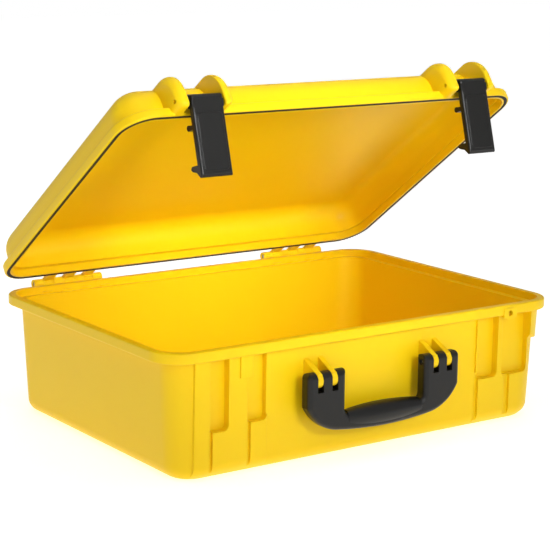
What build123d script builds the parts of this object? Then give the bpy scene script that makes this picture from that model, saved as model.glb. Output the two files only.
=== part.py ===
from build123d import *
import os

# A carrying case: a deep base, a hinged lid with a seal, two latches and a folding handle.
# The origin is on the floor under the middle of the base; +X runs to the right of the front,
# +Y to the hinges and +Z up. The lid is drawn shut and then opened to its resting angle.

# Driving dimensions, in mm and degrees
rim_width = 500.0
rim_depth = 359.0
rim_corner = 35.0
rim_top = 132.7
rim_band = 11.0
wall = 3.6
base_bottom_width = 461.0
base_bottom_depth = 337.6
base_top_width = 474.0
base_top_depth = 341.0
base_corner = 29.0
base_foot_radius = 14.0
lid_height = 45.0
lid_dome_radius = 25.0
lid_dome_width = 487.0
lid_dome_depth = 340.0
lid_dome_corner = 29.0
lid_dome_foot = 2.0
lid_gap = 0.5
rest_opening = 35.7
hinge_y = 193.7
hinge_z = 131.5
latch_x = 169.0
latch_pivot_y = -191.0
latch_pivot_z = 141.8
latch_rest_tilt = 20.5
handle_pivot_y = -188.0
handle_pivot_z = 89.0

# Rim: a lip runs round the outside and steps down to a ledge inside
rim_fillet = 1.8
lip_width = 8.0
base_step = 8.0
base_ledge = rim_top - base_step
lid_rim = 9.5
lid_step = 8.5
lid_bottom = rim_top + lid_gap
lid_top = rim_top + lid_height

# Seal: a strip let into the lid's lip
seal_inset = 2.2
seal_width = 3.6
seal_depth = 3.0
seal_proud = 0.2
seal_fit = 0.05

# Hinges: two groups of knuckles, the base's on the outside of each group
hinge_group_in = 113.0
hinge_pitch = 12.3
hinge_knuckles = 7
hinge_gap = 0.5
hinge_radius = 5.2
hinge_pin_radius = 2.5
hinge_arm_root = 6.0
hinge_rib_drop = 16.0
hinge_bore_length = 100.0
running = 0.05

# Latches, with the plate hanging straight down from its pin
latch_width = 36.0
latch_front = 8.6
latch_back = 2.8
latch_top = 4.2
latch_length = 75.5
latch_barrel_radius = 6.2
latch_barrel_width = 39.6
latch_pin_radius = 2.0
latch_edge = 2.2
latch_panel = (29.0, 13.0, 70.0, 4.0)
latch_panel_proud = 0.8
latch_nub_drop = 26.2
latch_nub_reach = 7.3
latch_hook_reach = 9.5
hook_root = 16.0
hook_face = 12.5
hook_lip = (2.0, 10.5, 9.0)
hook_nose = (2.5, 7.2)
hook_throat = (9.0, 5.5)
latch_nub_radius = 2.9
latch_nub_height = 4.6
latch_neck_drop = 8.0
latch_barrel_trim = (2.0, 12.0)
ear_inner = 20.6
ear_thickness = 11.4
ear_front = -199.0
latch_pin_sink = 5.0
ear_outer_round = 8.0
ear_inner_round = 1.5
ear_root = -150.0
ear_drop = 1.5
ear_dome = 27.0
ear_toe = 4.0
latch_bore_length = 80.0

# Handle
handle_outer = 97.0
handle_leg = 46.0
handle_lug = 6.2
handle_gap = 0.5
handle_pin_radius = 3.0
handle_bore_length = 60.0
knuckle_radius = 8.5
handle_half_thick = 8.0
handle_edge = 5.0
knuckle_corner = 6.0
handle_pin_cover = 3.0
handle_pin_length = 40.0
handle_slot_low = 77.5
handle_slot_reach = 20.0
lug_root_sink = 2.0
lug_smaller = 0.5
lug_gusset_low = 15.0
lug_gusset_high = 19.0
lug_shoulder = (2.5, 2.0)
handle_sweep = (60.0, 35.2)
handle_shoulder = 62.0
handle_low = 31.0
grip_span = 47.0
grip_axis_z = 44.5
grip_radius = (8.5, 11.8)
window_low = 50.0
window_corner = 7.0

cut = 1.0


def rounded_slab(width, depth, corner, low, high):
    """An upright prism with rounded corners, centred on the origin in plan."""
    outline = RectangleRounded(width, depth, corner)
    return Pos(0, 0, low) * extrude(outline, high - low)


def tapered_block(bottom, top, corner, low, high):
    """A block that widens from its bottom (width, depth) to its top."""
    lower = Pos(0, 0, low) * RectangleRounded(bottom[0], bottom[1], corner)
    upper = Pos(0, 0, high) * RectangleRounded(top[0], top[1], corner)
    return loft([lower.face(), upper.face()], ruled=True)


def box_between(x, y, z):
    """A box from its three (low, high) pairs."""
    size = [high - low for low, high in (x, y, z)]
    middle = [(high + low) / 2 for low, high in (x, y, z)]
    return Pos(*middle) * Box(*size)


def edges_at(shape, height):
    """The edges that lie level at one height."""
    found = shape.edges().filter_by_position(Axis.Z, height - 0.01, height + 0.01)
    return found


def body_of_base(grow, low, foot):
    """The drafted tub of the base, grown outwards all round by one amount."""
    bottom = (base_bottom_width + 2 * grow, base_bottom_depth + 2 * grow)
    top = (base_top_width + 2 * grow, base_top_depth + 2 * grow)
    block = tapered_block(bottom, top, base_corner + grow, low, rim_top)
    return fillet(edges_at(block, low), foot)


# Front of the base, where the latches close: pads stand out from the wall, with pockets
# between them under the rim and narrow grooves below the pockets
pad_proud = 2.2
pad_foot = 2.0
corner_pad_chamfer = 9.0
pocket_floor = -163.6
pocket_backing = 3.4
pocket_back_root = -168.4
pocket_corner = 6.0
pocket_overshoot = 20.0
groove_depth = 0.4
groove_overlap = 8.0
block_proud = 1.4
rim_underside = rim_top - rim_band
latch_zones = {
    "left": {
        "pad": (-205.0, -131.0),
        "corner_pad": (-215.0, -198.0),
        "corner_pad_proud": 3.0,
        "corner_pad_low": 0.0,
        "pockets": [(-198.0, -176.0, 48.0), (-154.0, -131.0, 52.0)],
        "grooves": [(-198.5, -194.5, 48.0), (-154.0, -150.0, 52.0)],
        "block": (-163.5, -149.0, 99.0, 123.0),
    },
    "right": {
        "pad": (141.0, 232.0),
        "corner_pad": (215.0, 232.0),
        "corner_pad_proud": 6.5,
        "corner_pad_low": 90.0,
        "pockets": [(143.0, 171.0, 53.0), (177.0, 215.0, 53.0)],
        "grooves": [(141.0, 145.0, 53.0), (182.0, 190.0, 53.0)],
        "block": None,
    },
}

# Padlock lip, by the right latch: a lip that hangs from the rim, with a channel behind it
lock_x = 180.5
lock_z = 123.6
lock_lip = (-180.4, -176.6)
lock_lip_low = 118.2
lock_lip_root = 4.0
lock_lip_drop = 3.0
lock_lip_corner = 3.0
lock_half = 9.0
lock_hole_radius = 3.1
lock_channel_back = -173.0
lock_channel_top = 128.2
lock_channel_half = 5.6


def soft_box(x, y, z, radius):
    """A box whose four edges along Y are rounded."""
    block = box_between(x, y, z)
    return fillet(block.edges().filter_by(Axis.Y), radius)


def pads_of(zone):
    """The raised pads of one latch zone, following the wall and its corner."""
    skin = body_of_base(pad_proud, pad_foot, base_foot_radius)
    thick = body_of_base(zone["corner_pad_proud"], pad_foot, base_foot_radius)
    front = (-rim_depth / 2, -rim_depth / 4)
    pads = skin & box_between(zone["pad"], front, (0, rim_underside + cut))
    tall = (zone["corner_pad_low"], rim_underside + cut)
    corner = box_between(zone["corner_pad"], front, tall)
    low_edge = corner.edges().filter_by(Axis.X).group_by(Axis.Z)[0].sort_by(Axis.Y)[0]
    corner = chamfer(low_edge, corner_pad_chamfer)
    return pads + (thick & corner)


def pocket_cuts(zone):
    """The pockets under the rim and the grooves that run down from them."""
    cuts = []
    far = -rim_depth / 2 - cut
    for left, right, low in zone["pockets"]:
        tall = (low, rim_underside + pocket_overshoot)
        deep = soft_box((left, right), (far, pocket_floor), tall, pocket_corner)
        cuts.append(deep - box_between((left, right), (far, 0), (rim_underside, rim_top)))
    for left, right, high in zone["grooves"]:
        floor = -base_bottom_depth / 2 + groove_depth
        cuts.append(box_between((left, right), (far, floor), (pad_foot, high + groove_overlap)))
    return cuts


def pocket_backs(zone):
    """The inside of each pocket, which keeps the wall behind it whole."""
    backs = []
    inside = (pocket_back_root, pocket_floor + pocket_backing)
    for left, right, low in zone["pockets"]:
        wide = (left - pocket_backing, right + pocket_backing)
        tall = (low - pocket_backing, rim_underside)
        backs.append(soft_box(wide, inside, tall, pocket_corner + pocket_backing))
    return backs


def hinge_knuckle(index, side):
    """The span in X of one knuckle of a hinge group, numbered from the middle outwards."""
    near = hinge_group_in + index * hinge_pitch + hinge_gap / 2
    far = near + hinge_pitch - hinge_gap
    return (near, far) if side > 0 else (-far, -near)


def base_hinge_arms(side):
    """The base's knuckles of one hinge, on arms from the back of the rim."""
    arms = []
    for index in range(0, hinge_knuckles, 2):
        span = hinge_knuckle(index, side)
        width = span[1] - span[0]
        middle = (span[0] + span[1]) / 2
        barrel = Pos(middle, hinge_y, hinge_z) * Rot(0, 90, 0) * Cylinder(hinge_radius, width)
        low = hinge_z - hinge_radius
        arm = box_between(span, (rim_depth / 2 - hinge_arm_root, hinge_y), (low, hinge_z - 1))
        profile = make_face(
            Polyline(
                (base_top_depth / 2 - 1, low - hinge_rib_drop),
                (base_top_depth / 2 - 1, low + 1),
                (hinge_y, low + 1),
                (hinge_y, low),
                (base_top_depth / 2 - 1, low - hinge_rib_drop),
            )
        )
        rib = Pos(span[0], 0, 0) * extrude(Plane.YZ * profile, width)
        arms.append(barrel + arm + rib)
    return arms


def lid_hinge_arms(side):
    """The lid's knuckles of one hinge, with the lid shut."""
    arms = []
    for index in range(1, hinge_knuckles, 2):
        span = hinge_knuckle(index, side)
        width = span[1] - span[0]
        middle = (span[0] + span[1]) / 2
        barrel = Pos(middle, hinge_y, hinge_z) * Rot(0, 90, 0) * Cylinder(hinge_radius, width)
        high = hinge_z + hinge_radius
        arm = box_between(span, (rim_depth / 2 - hinge_arm_root, hinge_y), (lid_bottom, high))
        arms.append(barrel + arm)
    return arms


def pin_bore(radius, x, y, z, length):
    """A cylinder along X."""
    return Pos(x, y, z) * Rot(0, 90, 0) * Cylinder(radius, length)


def handle_knuckles():
    """Spans in X of one handle leg's pieces, from the outside: knuckle, lug, knuckle, lug, knuckle."""
    knuckle = (handle_leg - 2 * handle_lug - 4 * handle_gap) / 3
    spans = []
    x = handle_outer
    for index in range(5):
        width = handle_lug if index % 2 else knuckle
        spans.append((x - width, x))
        x = x - width - handle_gap
    return spans


def handle_lugs(side):
    """The two lugs of the base that hold one leg of the handle."""
    lugs = []
    for low, high in handle_knuckles()[1::2]:
        span = (low, high) if side > 0 else (-high, -low)
        root = -base_top_depth / 2 + lug_root_sink
        reach = handle_pivot_y - knuckle_radius + lug_smaller
        nose = Pos(handle_pivot_y, handle_pivot_z) * Circle(knuckle_radius - lug_smaller)
        gusset = make_face(
            Polyline(
                (root, handle_pivot_z - lug_gusset_low),
                (handle_pivot_y, handle_pivot_z - knuckle_radius + lug_smaller),
                (reach, handle_pivot_z),
                (reach + lug_shoulder[0], handle_pivot_z + knuckle_radius - lug_shoulder[1]),
                (root, handle_pivot_z + lug_gusset_high),
                (root, handle_pivot_z - lug_gusset_low),
            )
        )
        outline = gusset + nose
        lugs.append(Pos(span[0], 0, 0) * extrude(Plane.YZ * outline, span[1] - span[0]))
    return lugs


def lock_bore(radius):
    """A cylinder through the padlock lip."""
    length = lock_lip[1] - lock_lip[0] + 2 * cut
    middle = (lock_lip[0] + lock_lip[1]) / 2
    return Pos(lock_x, middle, lock_z) * Rot(90, 0, 0) * Cylinder(radius, length)


def lock_boss():
    """The lip that carries the padlock hole."""
    boss = box_between(
        (lock_x - lock_half, lock_x + lock_half),
        (lock_lip[0], -rim_depth / 2 + lock_lip_root),
        (lock_lip_low, rim_top - lock_lip_drop),
    )
    return fillet(boss.edges().filter_by(Axis.Y), lock_lip_corner)


def base_shell():
    """The base, in one moulding."""
    body = body_of_base(0.0, 0.0, base_foot_radius)
    for zone in latch_zones.values():
        body += pads_of(zone)
    rim = rounded_slab(rim_width, rim_depth, rim_corner, rim_underside, rim_top)
    rim = fillet(edges_at(rim, rim_underside) + edges_at(rim, rim_top), rim_fillet)
    inner_bottom = (base_bottom_width - 2 * wall, base_bottom_depth - 2 * wall)
    inner_top = (base_top_width - 2 * wall, base_top_depth - 2 * wall)
    hollow = tapered_block(inner_bottom, inner_top, base_corner - wall, wall, rim_top + cut)
    hollow = fillet(edges_at(hollow, wall), base_foot_radius - wall)
    step = rounded_slab(
        rim_width - 2 * lip_width,
        rim_depth - 2 * lip_width,
        rim_corner - lip_width,
        base_ledge,
        rim_top + cut,
    )
    body = body + rim - hollow - step
    for zone in latch_zones.values():
        for back in pocket_backs(zone):
            body += back
        for pocket in pocket_cuts(zone):
            body -= pocket
        if zone["block"]:
            left, right, low, high = zone["block"]
            front = -base_top_depth / 2 - pad_proud - block_proud
            body += box_between((left, right), (front, pocket_floor + cut), (low, high))
    for side in (-1, 1):
        for piece in base_hinge_arms(side) + handle_lugs(side):
            body += piece
        hinge_middle = side * (hinge_group_in + hinge_pitch * hinge_knuckles / 2)
        hinge_bore = hinge_pin_radius + running
        body -= pin_bore(hinge_bore, hinge_middle, hinge_y, hinge_z, hinge_bore_length)
        leg_middle = side * (handle_outer - handle_leg / 2)
        handle_bore = handle_pin_radius + running / 2
        length = handle_bore_length
        body -= pin_bore(handle_bore, leg_middle, handle_pivot_y, handle_pivot_z, length)
    body += lock_boss()
    across = (lock_x - lock_channel_half, lock_x + lock_channel_half)
    tall = (rim_underside - 2 * cut, lock_channel_top)
    body -= box_between(across, (lock_lip[1], lock_channel_back), tall)
    return body - lock_bore(lock_hole_radius)


def ear_profile():
    """The side of a latch ear: flat on the rim's plane, upright in front, domed on top."""
    back = ear_root
    low = lid_bottom
    high = lid_top - ear_drop
    edge = Line((back, low), (ear_front + ear_toe, low))
    toe = TangentArc(edge @ 1, (ear_front, low + ear_toe), tangent=edge % 1)
    front = Line(toe @ 1, (ear_front, high - ear_dome))
    top = TangentArc(front @ 1, (ear_front + ear_dome, high), tangent=front % 1)
    flat = Line(top @ 1, (back, high))
    return make_face(edge + toe + front + top + flat + Line(flat @ 1, (back, low)))


def free_edges(face):
    """The edges of an ear's side that are clear of the lid and the rim's plane."""
    found = []
    for edge in face.edges():
        middle = edge.center()
        if middle.Y < ear_root - 2 * cut and middle.Z > lid_bottom + cut:
            found.append(edge)
    return found


def lid_ear(x_inner, side):
    """One ear, beside a latch; side is the way its outer face looks."""
    solid = extrude(Plane.YZ * ear_profile(), ear_thickness)
    near = x_inner if side > 0 else x_inner - ear_thickness
    solid = Pos(near, 0, 0) * solid
    outer = solid.faces().sort_by(Axis.X)[-1 if side > 0 else 0]
    solid = fillet(free_edges(outer), ear_outer_round)
    inner = solid.faces().sort_by(Axis.X)[0 if side > 0 else -1]
    return fillet(free_edges(inner), ear_inner_round)


def lid_hollow():
    """The inside of the lid."""
    hollow = rounded_slab(
        lid_dome_width - 2 * wall,
        lid_dome_depth - 2 * wall,
        lid_dome_corner - wall,
        lid_bottom - cut,
        lid_top - wall,
    )
    return fillet(edges_at(hollow, lid_top - wall), lid_dome_radius - wall)


def lid_shell():
    """The lid, shut."""
    low = lid_bottom + lid_dome_foot
    dome = rounded_slab(lid_dome_width, lid_dome_depth, lid_dome_corner, low, lid_top)
    dome = fillet(edges_at(dome, lid_top), lid_dome_radius)
    rim = rounded_slab(rim_width, rim_depth, rim_corner, lid_bottom, lid_bottom + lid_rim)
    rim = fillet(edges_at(rim, lid_bottom) + edges_at(rim, lid_bottom + lid_rim), rim_fillet)
    body = dome + rim
    for side in (-1, 1):
        for near in (-1, 1):
            x_inner = side * latch_x + near * ear_inner
            body += lid_ear(x_inner, near)
        for piece in lid_hinge_arms(side):
            body += piece
    step = rounded_slab(
        rim_width - 2 * lip_width,
        rim_depth - 2 * lip_width,
        rim_corner - lip_width,
        lid_bottom - cut,
        lid_bottom + lid_step,
    )
    body = body - lid_hollow() - step - seal_ring(lid_bottom - cut, seal_fit)
    for side in (-1, 1):
        hinge_middle = side * (hinge_group_in + hinge_pitch * hinge_knuckles / 2)
        hinge_bore = hinge_pin_radius + running
        body -= pin_bore(hinge_bore, hinge_middle, hinge_y, hinge_z, hinge_bore_length)
        latch_bore = latch_pin_radius + running / 2
        length = latch_bore_length
        body -= pin_bore(latch_bore, side * latch_x, latch_pivot_y, latch_pivot_z, length)
    return body


def seal_ring(low, clearance):
    """The seal's shape: a rounded ring let into the lip of the lid."""
    outer = rounded_slab(
        rim_width - 2 * (seal_inset - clearance),
        rim_depth - 2 * (seal_inset - clearance),
        rim_corner - seal_inset,
        low,
        lid_bottom + seal_depth + clearance,
    )
    inset = seal_inset + seal_width + clearance
    inner = rounded_slab(
        rim_width - 2 * inset, rim_depth - 2 * inset, rim_corner - inset, low - cut, lid_top
    )
    return outer - inner


def lid_seal():
    """The seal, shut; it stands a little proud of the lid's lip."""
    ring = seal_ring(lid_bottom - seal_proud, 0.0)
    return ring


def latch():
    """A latch hanging straight down, with its pin's axis on the X axis through the origin."""
    front = -latch_front
    back = -latch_back
    end = -latch_length
    hook = make_face(
        Polyline(
            (back - 1, end + hook_root),
            (back, end + hook_face),
            (latch_hook_reach - hook_lip[0], end + hook_face),
            (latch_hook_reach, end + hook_lip[1]),
            (latch_hook_reach, end + hook_lip[2]),
            (latch_hook_reach - hook_nose[0], end + hook_nose[1]),
            (latch_hook_reach - hook_throat[0], end + hook_throat[1]),
            (front + 3.5, end),
            (front + 1.2, end + 1),
            (back - 1, end + hook_root),
        )
    )
    plate = make_face(
        Polyline(
            (front + 1.5, latch_top),
            (front, latch_top - 2),
            (front, -latch_length + 3),
            (front + 2.5, -latch_length),
            (back, -latch_length + 3),
            (back, latch_top - 1),
            (back - 1, latch_top),
            (front + 1.5, latch_top),
        )
    )
    tip = latch_nub_reach - latch_nub_radius
    nub_tip = Pos(tip, -latch_nub_drop) * Circle(latch_nub_radius)
    shank = Rectangle(tip - back + cut, latch_nub_height)
    shank = Pos((back - cut + tip) / 2, -latch_nub_drop) * shank
    section = plate + hook + nub_tip + shank
    half = latch_width / 2
    body = Pos(-half, 0, 0) * extrude(Plane.YZ * section, latch_width)
    upright = body.edges().filter_by(Axis.Z).group_by(Axis.Y)[0]
    body = fillet(upright, latch_edge)
    lever = Pos(front / 2, -latch_neck_drop / 2) * Rectangle(latch_front, latch_neck_drop)
    lever += Circle(latch_barrel_radius)
    offset, width = latch_barrel_trim
    trimmed = Circle(latch_barrel_radius) & Pos(offset, 0) * Rectangle(width, 2 * width)
    barrel_half = latch_barrel_width / 2
    barrel = Pos(-barrel_half, 0, 0) * extrude(Plane.YZ * trimmed, latch_barrel_width)
    neck = Pos(-half, 0, 0) * extrude(Plane.YZ * lever, latch_width)
    body = body + barrel + neck + latch_face_panel()
    body -= pin_bore(latch_pin_radius + running, 0, 0, 0, latch_bore_length)
    return body


def latch_face_panel():
    """The raised panel on the front of a latch."""
    width, top, bottom, corner = latch_panel
    face = RectangleRounded(width, bottom - top, corner)
    depth = latch_panel_proud + 1
    panel = extrude(Plane.XZ * face, depth)
    panel = Pos(0, -latch_front + 1, -(top + bottom) / 2) * panel
    front = panel.faces().sort_by(Axis.Y)[0]
    return fillet(front.edges(), 0.7)


def place_latch(shape, side):
    """Moves a latch from its own pin to its place on the shut lid, swung inwards to rest."""
    placed = Pos(side * latch_x, latch_pivot_y, latch_pivot_z) * shape
    pivot = Axis((0, latch_pivot_y, latch_pivot_z), (1, 0, 0))
    return placed.rotate(pivot, latch_rest_tilt)


def handle_pin(side, radius=handle_pin_radius, extra=0.0):
    """A pin, pushed in from the middle of the handle, that stops short of the outer face."""
    length = handle_pin_length + extra
    middle = side * (handle_outer - handle_pin_cover - length / 2)
    return pin_bore(radius, middle, handle_pivot_y, handle_pivot_z, length)


def handle_plan():
    """The front outline of the handle in X and Z, with its window."""
    top = handle_pivot_z + knuckle_radius
    inner = handle_outer - handle_leg
    x, z = handle_sweep
    middle = ThreePointArc((x, z), (0, handle_low), (-x, z))
    right = TangentArc(middle @ 0, (handle_outer, handle_shoulder), tangent=-(middle % 0))
    left = TangentArc(middle @ 1, (-handle_outer, handle_shoulder), tangent=middle % 1)
    near = handle_outer - knuckle_corner
    sides = Polyline(left @ 1, (-handle_outer, top - knuckle_corner))
    sides += RadiusArc((-handle_outer, top - knuckle_corner), (-near, top), knuckle_corner)
    sides += Line((-near, top), (near, top))
    sides += RadiusArc((near, top), (handle_outer, top - knuckle_corner), knuckle_corner)
    sides += Line((handle_outer, top - knuckle_corner), right @ 1)
    outline = make_face(middle + right + left + sides)
    tall = top + handle_slot_reach - window_low
    window = Pos(0, window_low + tall / 2) * RectangleRounded(2 * inner, tall, window_corner)
    return outline - window


def handle_grip():
    """The crowned grip, fattest in the middle."""
    ends, middle = grip_radius
    crown = ThreePointArc((-grip_span, ends), (0, middle), (grip_span, ends))
    core = Polyline(crown @ 1, (grip_span, 0), (-grip_span, 0), crown @ 0)
    barrel = revolve(make_face(crown + core), Axis.X)
    return Pos(0, handle_pivot_y, grip_axis_z) * barrel


def handle():
    """The handle, hanging down, with both legs and the grip in one moulding."""
    plan = handle_plan()
    body = extrude(Plane.XZ * plan, 2 * handle_half_thick)
    body = Pos(0, handle_pivot_y + handle_half_thick, 0) * body
    body = fillet(body.edges().filter_by(Axis.Y, reverse=True), handle_edge)
    side_view = Pos(handle_pivot_y, handle_pivot_z) * Circle(knuckle_radius)
    side_view += Pos(handle_pivot_y, handle_pivot_z / 2) * Rectangle(
        2 * handle_half_thick, handle_pivot_z
    )
    body &= Pos(-handle_outer, 0, 0) * extrude(Plane.YZ * side_view, 2 * handle_outer)
    body += handle_grip()
    for side in (-1, 1):
        for low, high in handle_knuckles()[1::2]:
            span = (low - handle_gap, high + handle_gap)
            if side < 0:
                span = (-high - handle_gap, -low + handle_gap)
            across = (handle_pivot_y - handle_slot_reach, handle_pivot_y + handle_slot_reach)
            body -= box_between(span, across, (handle_slot_low, handle_pivot_z + handle_slot_reach))
        body -= handle_pin(side, handle_pin_radius + running, 20.0)
    return body


def open_lid(shape):
    """Turns a piece of the shut lid up to the angle it rests at."""
    return shape.rotate(Axis((0, hinge_y, hinge_z), (1, 0, 0)), -rest_opening)


def hinge_pin(side):
    """A hinge pin, a little shorter than its row of knuckles."""
    middle = side * (hinge_group_in + hinge_pitch * hinge_knuckles / 2)
    return pin_bore(hinge_pin_radius, middle, hinge_y, hinge_z, hinge_pitch * hinge_knuckles - 3)


def latch_pin(side):
    """A latch pin, sunk a little into both ears."""
    length = 2 * (ear_inner + ear_thickness - latch_pin_sink)
    pin = pin_bore(latch_pin_radius, side * latch_x, latch_pivot_y, latch_pivot_z, length)
    return pin


os.makedirs("parts", exist_ok=True)
pieces = {
    "base_shell": base_shell(),
    "lid_shell": open_lid(lid_shell()),
    "lid_seal": open_lid(lid_seal()),
    "handle": handle(),
}
for side, name in ((-1, "left"), (1, "right")):
    pieces["hinge_pin_" + name] = hinge_pin(side)
    pieces["handle_pin_" + name] = handle_pin(side)
    pieces["latch_" + name] = open_lid(place_latch(latch(), side))
    pieces["latch_pin_" + name] = open_lid(latch_pin(side))
for name, piece in pieces.items():
    export_step(piece, "parts/" + name + ".step")
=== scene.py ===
import math
import bmesh
import bpy
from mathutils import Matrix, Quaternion, Vector

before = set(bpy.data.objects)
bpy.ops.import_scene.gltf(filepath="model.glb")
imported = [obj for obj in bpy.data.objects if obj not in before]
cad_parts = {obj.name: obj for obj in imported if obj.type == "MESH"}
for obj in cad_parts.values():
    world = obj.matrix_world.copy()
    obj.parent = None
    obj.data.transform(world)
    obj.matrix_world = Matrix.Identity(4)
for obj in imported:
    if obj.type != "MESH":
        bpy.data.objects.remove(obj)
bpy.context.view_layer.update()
print("frame loaded", sorted(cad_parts))

# The view: three quarters on, from the left and a little above
cameraPlan = {
    "place": (-1.0873, -1.5526, 0.5387),
    "azimuth": -34.93,
    "elevation": 11.47,
    "roll": 0.56,
    "lens": 115.5,
    "sensor": 36,
    "clip": (0.05, 60),
}


def makeCamera(plan):
    data = bpy.data.cameras.new("viewCamera")
    data.lens = plan["lens"]
    data.sensor_width = plan["sensor"]
    data.clip_start, data.clip_end = plan["clip"]
    camera = bpy.data.objects.new("viewCamera", data)
    bpy.context.scene.collection.objects.link(camera)
    turn, tilt = math.radians(plan["azimuth"]), math.radians(plan["elevation"])
    level = math.cos(tilt)
    ahead = Vector((-math.sin(turn) * level, math.cos(turn) * level, -math.sin(tilt)))
    roll = Quaternion((0, 0, 1), math.radians(plan["roll"]))
    camera.rotation_mode = "QUATERNION"
    camera.location = plan["place"]
    camera.rotation_quaternion = ahead.to_track_quat("-Z", "Y") @ roll
    bpy.context.scene.camera = camera


makeCamera(cameraPlan)
print("camera made")


def linearColour(hexText):
    # the sRGB curve, undone
    parts = [int(hexText[i:i + 2], 16) / 255 for i in (1, 3, 5)]
    linear = [p / 12.92 if p <= 0.04045 else ((p + 0.055) / 1.055) ** 2.4 for p in parts]
    return tuple(linear) + (1.0,)


def addNode(tree, kind, settings=None, sockets=None):
    # a socket's value is either a number or another node's output to link
    made = tree.nodes.new(kind)
    for name, value in (settings or {}).items():
        setattr(made, name, value)
    for name, value in (sockets or {}).items():
        if isinstance(value, bpy.types.NodeSocket):
            tree.links.new(value, made.inputs[name])
        else:
            made.inputs[name].default_value = value
    return made


def perMillimetre(size):
    return 1000.0 / size


# The Mix node's colour sockets, whose names its other kinds of socket share
mixColours = (6, 7)
mixResult = 2
# The part of a noise's output that it seldom leaves
noiseSpan = (0.3, 0.7)

# How each moulded pattern's noise is built up
patternPlan = {
    "grain": {"Detail": 3.0, "Roughness": 0.6},
    "flow": {"Detail": 2.0, "Roughness": 0.45},
    "drift": {"Detail": 3.0, "Roughness": 0.5},
}
flowStrength = 0.25
edgeSamples = 4
scatterDepth = 0.002      # m


# Moulded plastics share one build: a spark-eroded grain, faint flow waviness, a slow drift
# of colour and gloss, and edges softened as a mould leaves them
def mouldedPlastic(name, plan):
    material = bpy.data.materials.new(name)
    material.use_nodes = True
    tree = material.node_tree
    tree.nodes.clear()
    place = addNode(tree, "ShaderNodeTexCoord")
    pattern = {}
    for kind, character in patternPlan.items():
        pattern[kind] = addNode(tree, "ShaderNodeTexNoise", None, {
            "Vector": place.outputs["Object"], "Scale": perMillimetre(plan[kind]), **character})
    tint = addNode(tree, "ShaderNodeMix", {"data_type": "RGBA"}, {
        "Factor": pattern["drift"].outputs["Fac"]})
    for socket, colour in zip(mixColours, plan["colours"]):
        tint.inputs[socket].default_value = linearColour(colour)
    gloss = addNode(tree, "ShaderNodeMapRange", None, {
        "Value": pattern["grain"].outputs["Fac"],
        "From Min": noiseSpan[0], "From Max": noiseSpan[1],
        "To Min": plan["roughness"][0], "To Max": plan["roughness"][1]})
    edge = addNode(tree, "ShaderNodeBevel", {"samples": edgeSamples}, {"Radius": plan["edge"] / 1000})
    wave = addNode(tree, "ShaderNodeBump", None, {
        "Strength": flowStrength, "Distance": plan["flowHeight"] / 1000,
        "Height": pattern["flow"].outputs["Fac"], "Normal": edge.outputs["Normal"]})
    skin = addNode(tree, "ShaderNodeBump", None, {
        "Strength": plan["grainStrength"], "Distance": plan["grainHeight"] / 1000,
        "Height": pattern["grain"].outputs["Fac"], "Normal": wave.outputs["Normal"]})
    shader = addNode(tree, "ShaderNodeBsdfPrincipled", None, {
        "Base Color": tint.outputs[mixResult], "Roughness": gloss.outputs["Result"],
        "Normal": skin.outputs["Normal"], "IOR": plan["ior"],
        "Specular IOR Level": plan["shine"],
        "Subsurface Weight": plan["subsurface"], "Subsurface Scale": scatterDepth})
    addNode(tree, "ShaderNodeOutputMaterial", None, {"Surface": shader.outputs["BSDF"]})
    return material


# Polypropylene, injection moulded: satin, slightly see-through at the skin, a clean warm yellow
yellowPolypropylene = mouldedPlastic("mouldedYellowPolypropylene", {
    "colours": ("#f2c908", "#f5ce0d"),
    "roughness": (0.36, 0.46),
    "ior": 1.49,
    "shine": 0.22,
    "subsurface": 0.06,
    "grain": 0.8,             # mm; finer on a real mould, drawn coarser to show
    "grainHeight": 0.05,
    "grainStrength": 0.22,
    "flow": 45.0,
    "flowHeight": 0.8,
    "drift": 160.0,
    "edge": 0.7,
})

# Glass-filled nylon, moulded: near black, harder and glossier where the mould was polished
blackNylon = mouldedPlastic("mouldedBlackNylon", {
    "colours": ("#0b0a08", "#12110f"),
    "roughness": (0.28, 0.42),
    "ior": 1.53,
    "shine": 0.35,
    "subsurface": 0.0,
    "grain": 0.6,
    "grainHeight": 0.05,
    "grainStrength": 0.25,
    "flow": 22.0,
    "flowHeight": 0.3,
    "drift": 50.0,
    "edge": 0.8,
})

# EPDM rubber, extruded: dull, dark, with a dusty bloom
sealRubber = mouldedPlastic("extrudedSealRubber", {
    "colours": ("#191816", "#26241f"),
    "roughness": (0.62, 0.78),
    "ior": 1.52,
    "shine": 0.3,
    "subsurface": 0.0,
    "grain": 0.5,
    "grainHeight": 0.06,
    "grainStrength": 0.4,
    "flow": 14.0,
    "flowHeight": 0.2,
    "drift": 30.0,
    "edge": 0.6,
})


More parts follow.
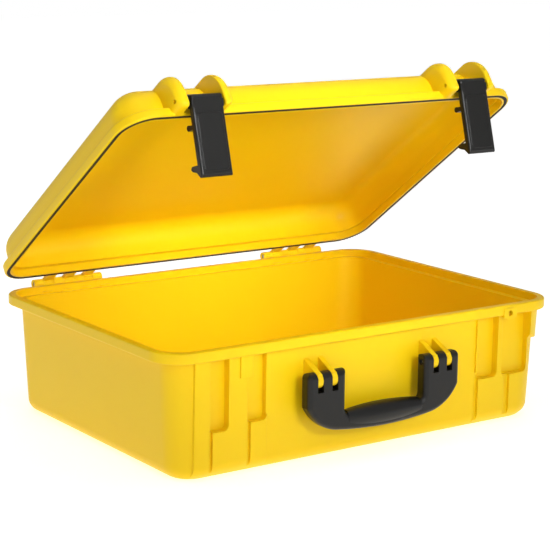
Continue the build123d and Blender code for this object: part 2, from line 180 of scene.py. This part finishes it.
# Stainless steel, drawn and turned: fine rings round the pin's length, along X
def turnedSteel(name, plan):
    material = bpy.data.materials.new(name)
    material.use_nodes = True
    tree = material.node_tree
    tree.nodes.clear()
    place = addNode(tree, "ShaderNodeTexCoord")
    rings = addNode(tree, "ShaderNodeMapping", None, {
        "Vector": place.outputs["Object"], "Scale": (1.0, plan["across"], plan["across"])})
    lathe = addNode(tree, "ShaderNodeTexNoise", None, {
        "Vector": rings.outputs["Vector"], "Scale": perMillimetre(plan["ring"]),
        "Detail": plan["detail"], "Roughness": plan["detailFade"]})
    gloss = addNode(tree, "ShaderNodeMapRange", None, {
        "Value": lathe.outputs["Fac"],
        "From Min": noiseSpan[0], "From Max": noiseSpan[1],
        "To Min": plan["roughness"][0], "To Max": plan["roughness"][1]})
    ridge = addNode(tree, "ShaderNodeBump", None, {
        "Strength": plan["ridgeStrength"], "Distance": plan["ridgeHeight"] / 1000,
        "Height": lathe.outputs["Fac"]})
    tint = addNode(tree, "ShaderNodeMix", {"data_type": "RGBA"}, {"Factor": lathe.outputs["Fac"]})
    for socket, colour in zip(mixColours, plan["colours"]):
        tint.inputs[socket].default_value = linearColour(colour)
    shader = addNode(tree, "ShaderNodeBsdfPrincipled", None, {
        "Base Color": tint.outputs[mixResult], "Metallic": 1.0,
        "Roughness": gloss.outputs["Result"], "Normal": ridge.outputs["Normal"]})
    addNode(tree, "ShaderNodeOutputMaterial", None, {"Surface": shader.outputs["BSDF"]})
    return material


pinSteel = turnedSteel("turnedStainlessSteel", {
    "colours": ("#a9a8a4", "#c4c3bf"),
    "roughness": (0.22, 0.36),
    "ring": 0.5,
    "across": 0.06,
    "detail": 2.0,
    "detailFade": 0.55,
    "ridgeStrength": 0.3,
    "ridgeHeight": 0.02,
})
print("materials made")

nodeFinish = {
    "base_shell": yellowPolypropylene,
    "lid_shell": yellowPolypropylene,
    "lid_seal": sealRubber,
    "handle": blackNylon,
    "latch_left": blackNylon,
    "latch_right": blackNylon,
    "hinge_pin_left": pinSteel,
    "hinge_pin_right": pinSteel,
    "latch_pin_left": pinSteel,
    "latch_pin_right": pinSteel,
    "handle_pin_left": pinSteel,
    "handle_pin_right": pinSteel,
}


def finishNode(name, material):
    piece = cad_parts[name]
    piece.data.materials.clear()
    piece.data.materials.append(material)


for nodeName, nodeMaterial in nodeFinish.items():
    finishNode(nodeName, nodeMaterial)
print("finishes given", len(nodeFinish))

# A pale light table, which glows enough to stay clean white to the horizon
floorPlan = {"width": 14.0, "colour": "#fbfbfa", "roughness": 0.8, "glow": 0.6}


def makeFloor(plan):
    mesh = bpy.data.meshes.new("studioFloor")
    shape = bmesh.new()
    bmesh.ops.create_grid(shape, x_segments=1, y_segments=1, size=plan["width"] / 2)
    shape.to_mesh(mesh)
    shape.free()
    floor = bpy.data.objects.new("studioFloor", mesh)
    bpy.context.scene.collection.objects.link(floor)
    material = bpy.data.materials.new("paintedStudioFloor")
    material.use_nodes = True
    shader = material.node_tree.nodes["Principled BSDF"]
    shader.inputs["Base Color"].default_value = linearColour(plan["colour"])
    shader.inputs["Roughness"].default_value = plan["roughness"]
    shader.inputs["Emission Color"].default_value = (1.0, 1.0, 1.0, 1.0)
    shader.inputs["Emission Strength"].default_value = plan["glow"]
    mesh.materials.append(material)


makeFloor(floorPlan)

# The opening light is narrow and aimed through the case's mouth, to fill its inside
lightPlan = [
    {"name": "keyLight", "place": (-1.6, -1.7, 2.3), "aim": (0, 0, 0.2),
     "power": 2.6, "size": 1.8, "spread": 180},
    {"name": "fillLight", "place": (2.0, -1.8, 1.4), "aim": (0, 0, 0.2),
     "power": 0.9, "size": 2.0, "spread": 180},
    {"name": "topLight", "place": (0.1, 0.0, 2.9), "aim": (0, 0, 0.2),
     "power": 10, "size": 2.6, "spread": 180},
    {"name": "openingLight", "place": (-0.1, -0.95, 0.62), "aim": (0, 0.1, 0.25),
     "power": 0.8, "size": 0.45, "spread": 31},
]


def makeLights(plans):
    for plan in plans:
        data = bpy.data.lights.new(plan["name"], "AREA")
        data.energy = plan["power"]
        data.shape = "SQUARE"
        data.size = plan["size"]
        data.spread = math.radians(plan["spread"])
        lamp = bpy.data.objects.new(plan["name"], data)
        lamp.location = plan["place"]
        lamp.visible_camera = False
        aim = Vector(plan["aim"]) - Vector(plan["place"])
        lamp.rotation_euler = aim.to_track_quat("-Z", "Y").to_euler()
        bpy.context.scene.collection.objects.link(lamp)


makeLights(lightPlan)
# The backdrop shows as clean white, and lights the case a little less than that
worldPlan = {"shown": 1.0, "lighting": 0.42}
world = bpy.data.worlds.new("softStudio")
world.use_nodes = True
backdrop = world.node_tree
backdrop.nodes.clear()
lightPath = addNode(backdrop, "ShaderNodeLightPath")
strength = addNode(backdrop, "ShaderNodeMapRange", None, {
    "Value": lightPath.outputs["Is Camera Ray"],
    "To Min": worldPlan["lighting"], "To Max": worldPlan["shown"]})
glow = addNode(backdrop, "ShaderNodeBackground", None, {
    "Color": (1.0, 1.0, 1.0, 1.0), "Strength": strength.outputs["Result"]})
addNode(backdrop, "ShaderNodeOutputWorld", None, {"Surface": glow.outputs["Background"]})
bpy.context.scene.world = world
bpy.context.scene.view_settings.view_transform = "Standard"
print("studio made")
